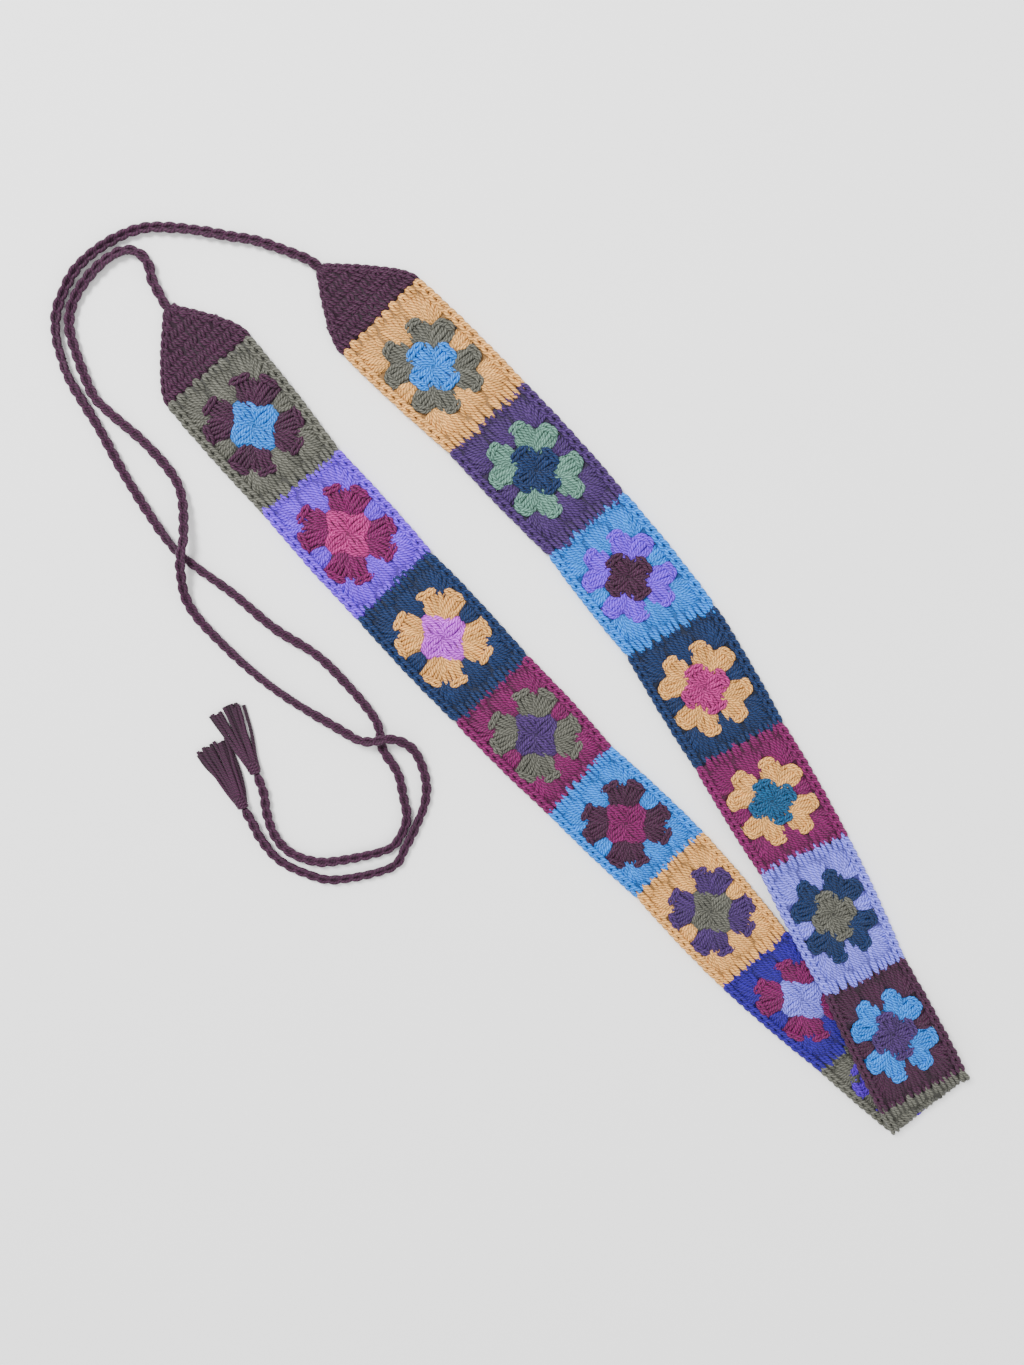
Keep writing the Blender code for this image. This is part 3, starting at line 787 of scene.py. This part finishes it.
# The yarn wrapped over each post
wraps = {
    "radius": 0.00088,
    # along the fan, across it in halves of the gap between two legs, up in radii
    "points": [(0.22, -1.35, -1.2), (0.33, -0.9, 0.0), (0.44, 0.0, 0.35), (0.55, 0.9, 0.0),
               (0.66, 1.35, -1.2)],
    "slip": (-0.06, 0.12),
    "sink": 0.2,
}
# The tops of the stitches, a row of chain round the fan's end
fanTop = {
    "from": -0.84,
    "to": 0.62,
    "points": 9,
    "along": 0.90,
    "bend": 1.3,
    "sink": 0.2,
    "pitch": 0.0046,
    "width": 0.0036,
    "thinner": 0.9,
}


def fan(strands, foot, top, width, rng, shape, posts=3, roundness=0.14, cap=True):
    foot = np.array(foot, float)
    top = np.array(top, float)
    length = np.linalg.norm(top - foot)
    run = (top - foot) / length
    across = np.array([-run[1], run[0]])
    radius = stitches["postRadius"]
    crown = stitches["crown"] - radius
    rows = np.array(shape)
    wrap = np.array(wraps["points"])
    gaps = 2 * posts - 1
    half = width / 2 - radius * stitches["edgeInset"]

    def laid(share, side, height):
        flat = foot + np.outer(share * length, run) + np.outer(side, across)
        return np.column_stack([flat, height])

    for post in range(posts):
        for leg in (0, 1):
            tint = rng.uniform(*stitches["tint"])
            start = 2 * (2 * post + leg) / gaps - 1
            share = rows[:, 0] * (1 - roundness * start * start)
            side = start * half * rows[:, 1]
            lean = stitches["lean"][leg] * radius * np.sin(np.pi * np.clip(share, 0, 1))
            height = stitches["floor"] + (crown - stitches["floor"]) * rows[:, 2]
            height = height - stitches["sideDrop"] * radius * start * start + lean
            height = height - stitches["sink"] * radius
            side = side + rng.normal(0, stitches["waver"], len(rows))
            addStrand(strands, laid(share, side, height), radius, tint)
        middle = (2 * (2 * post + 0.5) / gaps - 1) * half
        share = wrap[:, 0] + rng.uniform(*wraps["slip"])
        side = (middle + wrap[:, 1] * half / gaps) * np.interp(share, rows[:, 0], rows[:, 1])
        height = crown + (wrap[:, 2] - wraps["sink"]) * radius
        addStrand(strands, laid(share, side, height), wraps["radius"], tint)
    if cap:
        arc = np.linspace(fanTop["from"], fanTop["to"], fanTop["points"])
        endShare = fanTop["along"] * (1 - roundness * fanTop["bend"] * arc * arc)
        widthThere = np.interp(endShare, rows[:, 0], rows[:, 1])
        height = np.full(len(arc), crown - fanTop["sink"] * radius)
        path = laid(endShare, arc * half * widthThere, height)
        chainRow(strands, path, fanTop["pitch"], fanTop["width"], radius * fanTop["thinner"], rng)


# Ribs: pairs of strands side by side that run out to the seam
seamRow = {
    "ribs": 10,
    "edgeInset": 0.0022,
    "start": 0.0314,
    "spike": 0.0026,  # how far a rib reaches over the seam
    "short": 0.0006,  # how far it stops before the seam, where the neighbour's reach over
    "startVaries": (-0.0016, 0.0010),
    "reachVaries": 0.0004,
    "root": (-0.0012, 0.0008),  # its first two points, from its start
    "end": (-0.0006, 0.0002),  # its last two, from where it reaches to
    "out": [0.6, 1.05, 1.0, 0.7, 0.15],  # of each leg from the rib's middle, in radii
    "sink": [2.4, 1.3, 1.0, 1.15, 2.1],  # below the crown, in radii
    "waver": 0.00022,
    "slant": 0.06,
    "tint": (0.9, 1.1),
}


def ribs(strands, end, stop, places, rng):
    radius = stitches["postRadius"]
    start = seamRow["start"]
    rootLow, rootHigh = seamRow["root"]
    endLow, endHigh = seamRow["end"]
    height = stitches["crown"] - radius * np.array(seamRow["sink"])
    for place in places:
        tint = rng.uniform(*seamRow["tint"])
        reach = stop + rng.normal(0, seamRow["reachVaries"])
        for leg in (-1, 1):
            begin = start + rng.uniform(*seamRow["startVaries"])
            along = np.array([begin + rootLow, begin + rootHigh, (begin + reach) / 2,
                              reach + endLow, reach + endHigh])
            out = place + rng.normal(0, seamRow["waver"])
            out = out + leg * radius * np.array(seamRow["out"])
            out = out + rng.normal(0, seamRow["slant"]) * (along - start)
            addStrand(strands, np.column_stack([end * along, out, height]), radius, tint)


# The belt's fabric behind the strands, so that no light comes through; its colour is kept dark as
# painted shade
# A quarter of three outlines, of the centre, the petals and the border, in halves of the square
quarter = [
    (0.411, 0.000, 0.463, 0.000, 1.00, 0.00), (0.355, 0.079, 0.620, 0.138, 1.00, 0.22),
    (0.295, 0.150, 0.666, 0.340, 1.00, 0.55), (0.213, 0.260, 0.438, 0.533, 1.00, 1.00),
    (0.146, 0.353, 0.331, 0.804, 0.55, 1.00), (0.076, 0.427, 0.149, 0.834, 0.22, 1.00),
    (0.000, 0.464, 0.000, 0.536, 0.00, 1.00),
]
backing = {
    "low": 0.0012,
    "high": 0.0022,
    "keep": (0.998, 0.97),  # share of the outer outline, so that it stays behind the strands
    "steps": 8,
}


def outline(columns):
    rows = [(row[columns[0]], row[columns[1]]) for row in quarter]
    back = rows[-2::-1]
    points = rows + [(-a, b) for a, b in back] + [(-a, -b) for a, b in rows[1:]]
    points += [(a, -b) for a, b in back[:-1]]
    return np.array(points) * (belt["squareLength"] / 2, belt["squareWidth"] / 2)


centreOutline = outline((0, 1))
petalOutline = outline((2, 3))
squareOutline = outline((4, 5))


def backingRing(inner, outer):
    # A flat closed ring between two outlines, or a disc where the inner one is a point
    steps = backing["steps"]
    count = len(outer)
    rings = []
    for height, shares in ((backing["low"], np.linspace(0, 1, steps)),
                           (backing["high"], np.linspace(1, 0, steps))):
        for share in shares:
            flat = inner + (outer - inner) * share
            rings.append(np.column_stack([flat, np.full(count, height)]))
    faces = []
    for ring in range(2 * steps):
        after = (ring + 1) % (2 * steps)
        for corner in range(count):
            following = (corner + 1) % count
            faces.append((ring * count + corner, ring * count + following,
                          after * count + following, after * count + corner))
    return {"points": np.vstack(rings), "faces": np.array(faces)}


# Centres: a fan towards each side
centres = {
    "foot": 0.0008,
    "roundness": 0.06,
    # length along the belt and across it, width, shape, whether a row of chain ends it
    "front": (0.0130, 0.0114, 0.0134, blockFan, True),
    "back": (0.0146, 0.0132, 0.0134, starFan, False),
}


def centreStrands(face, rng):
    strands = newStrands()
    alongLength, acrossLength, width, shape, cap = centres[face]
    for turn in (0, 90, 180, 270):
        way = direction(turn)
        length = acrossLength if turn % 180 else alongLength
        fan(strands, way * centres["foot"], way * length, width, rng, shape,
            roundness=centres["roundness"], cap=cap)
    return strands


# Petals: two at each corner
petals = {
    "foot": (0.0072, 0.0052),
    # shape, roundness, then where the two petals end and how wide they are
    "front": (leafFan, 0.12, [((0.0234, 0.0082), 0.0117), ((0.0098, 0.0201), 0.0119)]),
    "back": (blockFan, 0.0, [((0.0232, 0.0098), 0.0130), ((0.0118, 0.0202), 0.0130)]),
}


def petalStrands(face, rng):
    strands = newStrands()
    shape, roundness, ends = petals[face]
    for corner in ((-1, -1), (-1, 1), (1, -1), (1, 1)):
        foot = np.multiply(corner, petals["foot"])
        for end, width in ends:
            fan(strands, foot, np.multiply(corner, end), width, rng, shape, roundness=roundness)
    return strands


# The border: shells at the ends, the corners and the sides, ribs over the seams and a chain rim
shells = {
    # foot, top, width, posts
    "end": ((0.0150, 0), (0.0312, 0), 0.0152, 4),
    "corner": ((0.0175, 0.0118), (0.0312, 0.0160), 0.0152, 4),
    "shoulder": ((0.0158, 0.0135), (0.0235, 0.0215), 0.0135, 3),
    "side": ((0, 0.0118), (0, 0.0216), 0.0110, 3),
}
rim = {
    "inset": 0.0021,
    "endInset": 0.001,
    "points": 40,
    "height": 0.0024,
    "pitch": 0.0050,
    "width": 0.0048,
    "radius": 0.00118,
}
# Which square's ribs reach over the seam into its neighbour, in spikes
spikesOver = {(13, 12), (11, 12), (10, 11), (10, 9), (15, 14), (14, 13), (8, 9), (7, 8),
              (6, 7), (6, 5), (5, 4), (3, 4), (3, 2), (1, 2)}


def shell(strands, name, corner, rng):
    foot, top, width, posts = shells[name]
    fan(strands, np.multiply(corner, foot), np.multiply(corner, top), width, rng, shellFan,
        posts=posts, cap=False)


def borderStrands(number, neighbours, rng):
    strands = newStrands()
    for a in (-1, 1):
        shell(strands, "end", (a, 1), rng)
        for b in (-1, 1):
            shell(strands, "corner", (a, b), rng)
            shell(strands, "shoulder", (a, b), rng)
        other = neighbours[a]
        stop = belt["squareLength"] / 2
        if (number, other) in spikesOver:
            stop += seamRow["spike"]
        elif (other, number) in spikesOver:
            stop -= seamRow["short"]
        places = np.linspace(-1, 1, seamRow["ribs"])
        places = places * (belt["squareWidth"] / 2 - seamRow["edgeInset"])
        ribs(strands, a, stop, places, rng)
    for b in (-1, 1):
        shell(strands, "side", (1, b), rng)
        edge = np.linspace(-1, 1, rim["points"]) * (belt["squareLength"] / 2 - rim["endInset"])
        out = np.full(len(edge), b * (belt["squareWidth"] / 2 - rim["inset"]))
        path = np.column_stack([edge, out, np.full(len(edge), rim["height"])])
        chainRow(strands, path, rim["pitch"], rim["width"], rim["radius"], rng)
    return strands


def bothFaces(strands):
    # The same stitches on the face below too
    both = newStrands()
    for points, radius, shade in zip(strands["points"], strands["radius"], strands["shade"]):
        turned = points * (1, 1, -1) + (0, 0, belt["thickness"])
        for face in (points, turned):
            addStrand(both, face, radius)
            both["shade"][-1] = shade
    return both


def addSquares(arm, seams, place, face):
    numbers = [row[0] for row in arm]
    for index, (number, nearSeam, farSeam) in enumerate(zip(numbers, seams, seams[1:])):
        onFold = number == 8
        way = roundFold if onFold else place
        rng = np.random.default_rng(100 + number)
        if index:
            before = numbers[index - 1]
        else:
            before = 9 if onFold else 8
        after = numbers[index + 1] if index + 1 < len(numbers) else 0
        made = {
            "centre": (centreStrands(face, rng), 0 * centreOutline, centreOutline),
            "petals": (petalStrands(face, rng), centreOutline, petalOutline),
            "border": (borderStrands(number, {-1: before, 1: after}, rng), petalOutline,
                       squareOutline),
        }
        for (part, (strands, inner, outer)), yarnName in zip(made.items(), rounds[number]):
            if onFold:
                strands = bothFaces(strands)
            ring = backingRing(inner, outer * backing["keep"])
            ring["points"] = layOnBelt(nearSeam, farSeam, way, ring["points"])
            strands["points"] = [
                layOnBelt(nearSeam, farSeam, way, points) for points in strands["points"]
            ]
            node = f"square_{number:02d}_{part}"
            piece = spinYarn(node + "_yarn", strands, [ring], yarnName)
            dress(piece, yarnName, node)


addSquares(lowerArm, lowerSeams, onLower, "back")
addSquares(upperArm, upperSeams, onUpper, "front")
print("squares made")

# Tips: rows of single crochet that narrow to where the tie leaves
tips = {
    # heading, share of the length
    "left": (121.7, 0.97),
    "right": (141.9, 1.02),
    # share of the length, share of the width
    "outline": [(0.00, 1.00), (0.12, 0.97), (0.30, 0.84), (0.50, 0.65), (0.70, 0.44),
                (0.85, 0.27), (1.00, 0.10)],
    "rows": 8,
    "pitch": 0.0043,
    "radius": 0.00095,
    "tint": (0.9, 1.08),
    "lean": 0.0010,  # one row to one side and the next to the other
    "leanVaries": (0.2, 1.4),
    "shift": 0.00030,
    "root": (-0.03, 0.02),  # a stitch's first two points from its row, in shares of the length
    "end": (-0.01, 0.02),  # its last two, from the next row
    "out": [0.3, 0.8, 1.15, 1.0, 0.4],  # of each leg from the stitch's middle, in radii
    "leaning": [-1, -0.6, 0, 0.6, 1],
    "waver": 0.00018,
    "sink": [2.2, 0.8, 0.1, 0.5, 1.9],  # below the crown, in radii
    "sinkVaries": (-0.1, 0.5),
}
binding = {
    "inset": 0.0012,
    "height": 0.0020,
    "points": 30,
    "pitch": 0.0046,
    "width": 0.0034,
    "radius": 0.00095,
}
tipBacking = {"stations": 17, "inset": 0.0008, "low": 0.0012, "high": 0.0026}


def addTip(side, baseSeam, seed):
    rng = np.random.default_rng(seed)
    strands = newStrands()
    heading, lengthShare = tips[side]
    middle, half = baseSeam
    reach = direction(heading) * belt["tipLength"] * lengthShare
    width = np.linalg.norm(half)
    shares, widths = zip(*tips["outline"])

    def laid(points):
        # Points are share along the tip, metres across, height
        flat = middle + np.outer(points[:, 0], reach) + np.outer(points[:, 1] / width, half)
        return np.column_stack([flat - belt["middle"], points[:, 2]])

    radius = tips["radius"]
    crown = belt["thickness"] - radius
    rootLow, rootHigh = tips["root"]
    endLow, endHigh = tips["end"]
    for row in range(tips["rows"]):
        low = row / tips["rows"]
        high = (row + 1) / tips["rows"]
        along = np.array([low + rootLow, low + rootHigh, (low + high) / 2, high + endLow,
                          high + endHigh])
        halfWidth = width * float(np.interp((low + high) / 2, shares, widths)) - radius
        count = max(1, round(2 * halfWidth / tips["pitch"]))
        for stitch in range(count):
            place = ((stitch + 0.5) / count * 2 - 1) * halfWidth
            tint = rng.uniform(*tips["tint"])
            lean = (tips["lean"] if row % 2 else -tips["lean"]) * rng.uniform(*tips["leanVaries"])
            shift = rng.normal(0, tips["shift"])
            for leg in (-1, 1):
                out = place + leg * radius * np.array(tips["out"])
                out = out + lean * np.array(tips["leaning"]) + shift
                out = out + rng.normal(0, tips["waver"], len(out))
                sink = np.array(tips["sink"]) + rng.uniform(*tips["sinkVaries"])
                points = np.column_stack([along, out, crown - radius * sink])
                addStrand(strands, laid(points), radius, tint)
    # The slanted edges are bound with a row of chain
    share = np.linspace(0, 1, binding["points"])
    for b in (-1, 1):
        edge = width * np.interp(share, shares, widths) - binding["inset"]
        height = np.full(len(share), binding["height"])
        path = laid(np.column_stack([share, b * edge, height]))
        chainRow(strands, path, binding["pitch"], binding["width"], binding["radius"], rng)
    # The fabric behind, given a dark colour as painted shade
    floor = tipBacking["low"]
    ceiling = tipBacking["high"]
    rings = []
    for share in np.linspace(0, 1, tipBacking["stations"]):
        edge = width * float(np.interp(share, shares, widths)) - tipBacking["inset"]
        rings.append([(share, -edge, floor), (share, edge, floor),
                      (share, edge, ceiling), (share, -edge, ceiling)])
    points = laid(np.array(rings).reshape(-1, 3))
    faces = []
    for first in range(0, len(points) - 4, 4):
        for corner in range(4):
            following = (corner + 1) % 4
            faces.append((first + corner, first + following,
                          first + 4 + following, first + 4 + corner))
    last = len(points) - 4
    faces += [(3, 2, 1, 0), (last, last + 1, last + 2, last + 3)]
    body = {"points": points, "faces": np.array(faces)}
    piece = spinYarn(side + "_tip_yarn", strands, [body], endYarn)
    dress(piece, endYarn, side + "_tip")


addTip("left", lowerSeams[-1], 41)
addTip("right", upperSeams[-1], 42)
print("tips made")

# A plain pale floor and soft studio light
studio = {
    "floorReach": 3.0,
    "paper": "#FFFFFF",
    "paperRoughness": 0.9,
    # name, place, watts, width
    "lights": [
        ("key light", (-0.8, 1.0, 1.6), 62, 0.7),
        ("fill light", (1.2, -0.4, 1.6), 14, 1.6),
    ],
    "surround": 1.1,
}


def addStage():
    mesh = bpy.data.meshes.new("floor")
    size = studio["floorReach"]
    mesh.from_pydata(
        [(-size, -size, 0), (size, -size, 0), (size, size, 0), (-size, size, 0)], [], [(0, 1, 2, 3)]
    )
    # White paper without gloss: its only marks are the belt's soft shadows
    paper = bpy.data.materials.new("pale matt paper")
    paper.use_nodes = True
    shader = paper.node_tree.nodes["Principled BSDF"]
    shader.inputs["Base Color"].default_value = (*linear(studio["paper"]), 1)
    shader.inputs["Roughness"].default_value = studio["paperRoughness"]
    mesh.materials.append(paper)
    floor = bpy.data.objects.new("floor", mesh)
    bpy.context.scene.collection.objects.link(floor)
    for name, place, power, width in studio["lights"]:
        light = bpy.data.lights.new(name, "AREA")
        light.energy = power
        light.size = width
        lamp = bpy.data.objects.new(name, light)
        lamp.location = place
        aim = -np.array(place)
        tilt = math.atan2(math.hypot(aim[0], aim[1]), -aim[2])
        lamp.rotation_euler = (tilt, 0, math.atan2(aim[1], aim[0]) - math.pi / 2)
        bpy.context.scene.collection.objects.link(lamp)
    world = bpy.data.worlds.new("studio")
    world.use_nodes = True
    background = world.node_tree.nodes["Background"]
    background.inputs["Color"].default_value = (1, 1, 1, 1)
    background.inputs["Strength"].default_value = studio["surround"]
    bpy.context.scene.world = world


addStage()
